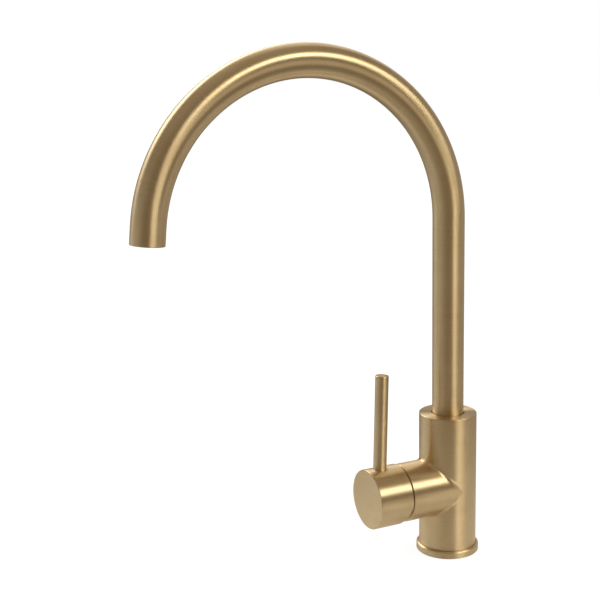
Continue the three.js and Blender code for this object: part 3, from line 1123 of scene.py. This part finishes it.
def buildStem(sizes):
    def block(part, corner=None):
        size, along = sizes[part]
        shape = boxShape(size, (0, 0, along))
        if corner:
            roundEdges(shape, list(shape.edges), corner, 2)
        return shape

    reach = sizes["tipReach"]
    tipPlace = Matrix.Translation((0, 0, sizes["tipAlong"])) @ crossways
    tip = moved(rodShape(sizes["tipRadius"], -reach, reach, 48), tipPlace)
    blocks = [block("waist"), block("blade", sizes["corner"]), block("square", sizes["corner"])]
    return carved(carved(tip, blocks, "UNION"), [moved(rodShape(sizes["pinHole"], -5, 5, 40), pinAcross)])


shapedPiece("leverStem", buildStem(leverStem), alongBoss, "raw_brass", "handle", "cartridge_stem")
print("cartridge made")

# The aerator stands in the spout's tail, its axis along the tube's last straight run.
tailTurn = math.radians(gooseneck["bendAngle"])
tailEnd = Vector((0, -gooseneck["bendRadius"], gooseneck["bendHeight"])) + Vector((
    0, gooseneck["bendRadius"] * math.cos(tailTurn) - gooseneck["tail"] * math.sin(tailTurn),
    gooseneck["bendRadius"] * math.sin(tailTurn) + gooseneck["tail"] * math.cos(tailTurn),
))
inTail = Matrix.Translation(tailEnd) @ Matrix.Rotation(tailTurn - math.pi, 4, "X")
aerator = {
    "housing": {
        "outline": [(8.8, 0.6), (10.8, 0.6), (10.8, 9), (7.6, 9), (7.6, 7.8), (8.8, 7.8)],
        "rounded": [(10.8, 0.6, 0.3, 3), (8.8, 0.6, 0.3, 3)],
    },
    "seal": {"outline": [(8, 9.3), (10.7, 9.3), (10.7, 10.9), (8, 10.9)], "rounded": [(10.7, 10.9, 0.3, 3)]},
    "plateRadius": 8.5,
    "screen": (1, 1.8),
    "insert": (2.1, 7.4),
    "jetCircle": 5.2,
    "jetRadius": 1.3,
    "middleJet": 1.1,
}


def jetHoles(sizes):
    turns = [i * math.pi / 3 for i in range(6)]
    circle = sizes["jetCircle"]
    around = [(circle * math.cos(turn), circle * math.sin(turn), sizes["jetRadius"]) for turn in turns]
    return [(0, 0, sizes["middleJet"]), *around]


turnedPiece("aeratorHousing", aerator["housing"], inTail, "pale_polymer", "spout", "aerator_housing")
turnedPiece("aeratorSeal", aerator["seal"], inTail, "rubber", "spout", "aerator_seal")
for title, part, finish, node in (
    ("aeratorScreen", "screen", "steel", "aerator_screen"),
    ("aeratorInsert", "insert", "dark_polymer", "aerator_insert"),
):
    ends = aerator[part]
    plate = drilled(discShape(aerator["plateRadius"], *ends, 0.2), jetHoles(aerator), *ends)
    shapedPiece(title, plate, inTail, finish, "spout", node)

leftOver = [node for node, part in frame["nodes"].items() if not part.hide_render]
print("CAD nodes still showing:", leftOver)

# Plain pale floor under soft light. The sun is wide and high, and gives no highlights.
studio = {
    "floorSize": 12.0,
    "floorTone": 0.9,
    "nearFloor": 0.3,
    "nearFade": 0.3,
    "floorGloss": 0.27,
    "floorGlow": 0.88,
    "sun": 4.0,
    "sunSpread": 90,
    "sunTilt": (8, 6, 0),
}


def mixShaders(tree, factor, first, second):
    return added(tree, "MixShader", {0: factor, 1: first.outputs[0], 2: second.outputs[0]})


# Reflections see a share of the floor near the tap and none beyond; the camera sees it washed white.
def makeFloor(sizes):
    plane = bmesh.new()
    bmesh.ops.create_grid(plane, x_segments=1, y_segments=1, size=sizes["floorSize"] / 2)
    mesh = bpy.data.meshes.new("studioFloor")
    plane.to_mesh(mesh)
    plane.free()
    floor = bpy.data.objects.new("studioFloor", mesh)
    bpy.context.scene.collection.objects.link(floor)
    material = bpy.data.materials.new("studioFloor")
    material.use_nodes = True
    tree = material.node_tree
    tree.nodes.clear()
    rays = added(tree, "LightPath").outputs
    position = added(tree, "TexCoord").outputs["Object"]
    distance = added(tree, "VectorMath", {0: position}, operation="LENGTH").outputs["Value"]
    near = sizes["nearFloor"]
    far = ramped(tree, distance, near * sizes["nearFade"], near, 1 - sizes["floorGloss"], 1)
    pale = added(tree, "BsdfDiffuse", {"Color": (sizes["floorTone"],) * 3})
    glow = added(tree, "Emission")
    washing = mathNode(tree, "MULTIPLY", rays["Is Camera Ray"], sizes["floorGlow"])
    washed = mixShaders(tree, washing, pale, glow)
    clearing = mathNode(tree, "MULTIPLY", far, rays["Is Glossy Ray"])
    surface = mixShaders(tree, clearing, washed, added(tree, "BsdfTransparent"))
    added(tree, "OutputMaterial", {"Surface": surface.outputs[0]})
    mesh.materials.append(material)


makeFloor(studio)

cameraSet = {
    "place": (0.7386, -0.4856, 0.3942),
    "forward": (-0.88163, 0.42497, -0.20523),
    "roll": -0.0228,
    "lens": 68.24,
}


def makeCamera(sizes):
    lens = bpy.data.cameras.new("studioCamera")
    lens.lens = sizes["lens"]
    lens.sensor_width = 36
    camera = bpy.data.objects.new("studioCamera", lens)
    bpy.context.scene.collection.objects.link(camera)
    forward = Vector(sizes["forward"]).normalized()
    level = forward.cross(Vector((0, 0, 1))).normalized()
    upward = level.cross(forward)
    roll = sizes["roll"]
    right = level * math.cos(roll) + upward * math.sin(roll)
    top = upward * math.cos(roll) - level * math.sin(roll)
    turn = Matrix((right, top, -forward)).transposed()
    camera.matrix_world = Matrix.Translation(sizes["place"]) @ turn.to_4x4()
    bpy.context.scene.camera = camera


makeCamera(cameraSet)

# Soft panels of the studio: angle right of the camera, height, half widths and softness in degrees.
panels = {
    "keyBox": {"side": 62, "rise": 33, "wide": 26, "tall": 8, "soft": 7, "light": (5.6, 5.55, 5.1)},
    "keyLow": {"side": 48, "rise": -12, "wide": 14, "tall": 14, "soft": 8, "light": (0.9, 0.85, 0.75)},
    "leftBox": {"side": -132, "rise": 33, "wide": 28, "tall": 13, "soft": 8, "light": (2.8, 2.85, 2.9)},
    "leftLow": {"side": -84, "rise": -14, "wide": 46, "tall": 20, "soft": 34, "light": (0.42, 0.48, 0.52)},
    "frontLow": {"side": -25, "rise": -30, "wide": 55, "tall": 8, "soft": 12, "light": (0.14, 0.13, 0.11)},
    "backWall": {"side": 180, "rise": 46, "wide": 26, "tall": 22, "soft": 12, "light": (0.66, 0.66, 0.68)},
    "ceiling": {"side": 0, "rise": 82, "wide": 200, "tall": 32, "soft": 16, "light": (0.2, 0.19, 0.165)},
    "rightBack": {"side": 128, "rise": -10, "wide": 42, "tall": 40, "soft": 14, "light": (0.19, 0.2, 0.2)},
    "tableTop": {"side": 180, "rise": -75, "wide": 120, "tall": 26, "soft": 14, "light": (0.24, 0.25, 0.25)},
}
studioShade = (0.2, 0.165, 0.13)


def makePanelGroup():
    angles = dict.fromkeys(("Side", "Rise", "Wide", "Tall", "Soft"), "Float")
    tree, given, out = nodeGroup("softPanel", {"Direction": "Vector", **angles}, {"Mask": "Float"})
    parts = added(tree, "SeparateXYZ", {0: given["Direction"]}).outputs
    bearing = mathNode(tree, "ARCTAN2", parts["Y"], parts["X"])
    sideways = mathNode(tree, "SUBTRACT", bearing, given["Side"])
    sideways = mathNode(tree, "ABSOLUTE", mathNode(tree, "WRAP", sideways, math.pi, -math.pi))
    upwards = mathNode(tree, "SUBTRACT", mathNode(tree, "ARCSINE", parts["Z"]), given["Rise"])
    upwards = mathNode(tree, "ABSOLUTE", upwards)
    masks = []
    for amount, half in ((sideways, given["Wide"]), (upwards, given["Tall"])):
        outer = mathNode(tree, "ADD", half, given["Soft"])
        inner = mathNode(tree, "SUBTRACT", half, given["Soft"])
        masks.append(ramped(tree, amount, outer, inner))
    plug(tree, out, {"Mask": mathNode(tree, "MULTIPLY", *masks)})
    return tree


# The camera sees plain white; everything else is lit by the panels over a dim warm shade.
def makeWorld():
    world = bpy.data.worlds.new("studio")
    bpy.context.scene.world = world
    world.use_nodes = True
    tree = world.node_tree
    tree.nodes.clear()
    direction = added(tree, "TexCoord").outputs["Generated"]
    group = makePanelGroup()
    cameraBearing = math.atan2(cameraSet["place"][1], cameraSet["place"][0])
    total = added(tree, "CombineXYZ", dict(zip("XYZ", studioShade))).outputs[0]
    for panel in panels.values():
        angles = {title.title(): math.radians(panel[title]) for title in ("rise", "wide", "tall", "soft")}
        side = cameraBearing + math.radians(panel["side"])
        mask = placed(tree, group, {"Direction": direction, "Side": side, **angles})["Mask"]
        values = {0: mask, 1: panel["light"], 2: total}
        total = added(tree, "VectorMath", values, operation="MULTIPLY_ADD").outputs[0]
    seen = added(tree, "Background", {"Color": (1, 1, 1)})
    lighting = added(tree, "Background", {"Color": total})
    surface = mixShaders(tree, added(tree, "LightPath").outputs["Is Camera Ray"], lighting, seen)
    added(tree, "OutputWorld", {"Surface": surface.outputs[0]})


makeWorld()


def makeSun(sizes):
    light = bpy.data.lights.new("overhead", "SUN")
    light.energy = sizes["sun"]
    light.angle = math.radians(sizes["sunSpread"])
    lamp = bpy.data.objects.new("overhead", light)
    lamp.rotation_euler = [math.radians(angle) for angle in sizes["sunTilt"]]
    lamp.visible_glossy = False
    bpy.context.scene.collection.objects.link(lamp)


makeSun(studio)
bpy.context.scene.view_settings.view_transform = "Standard"
print("studio made")
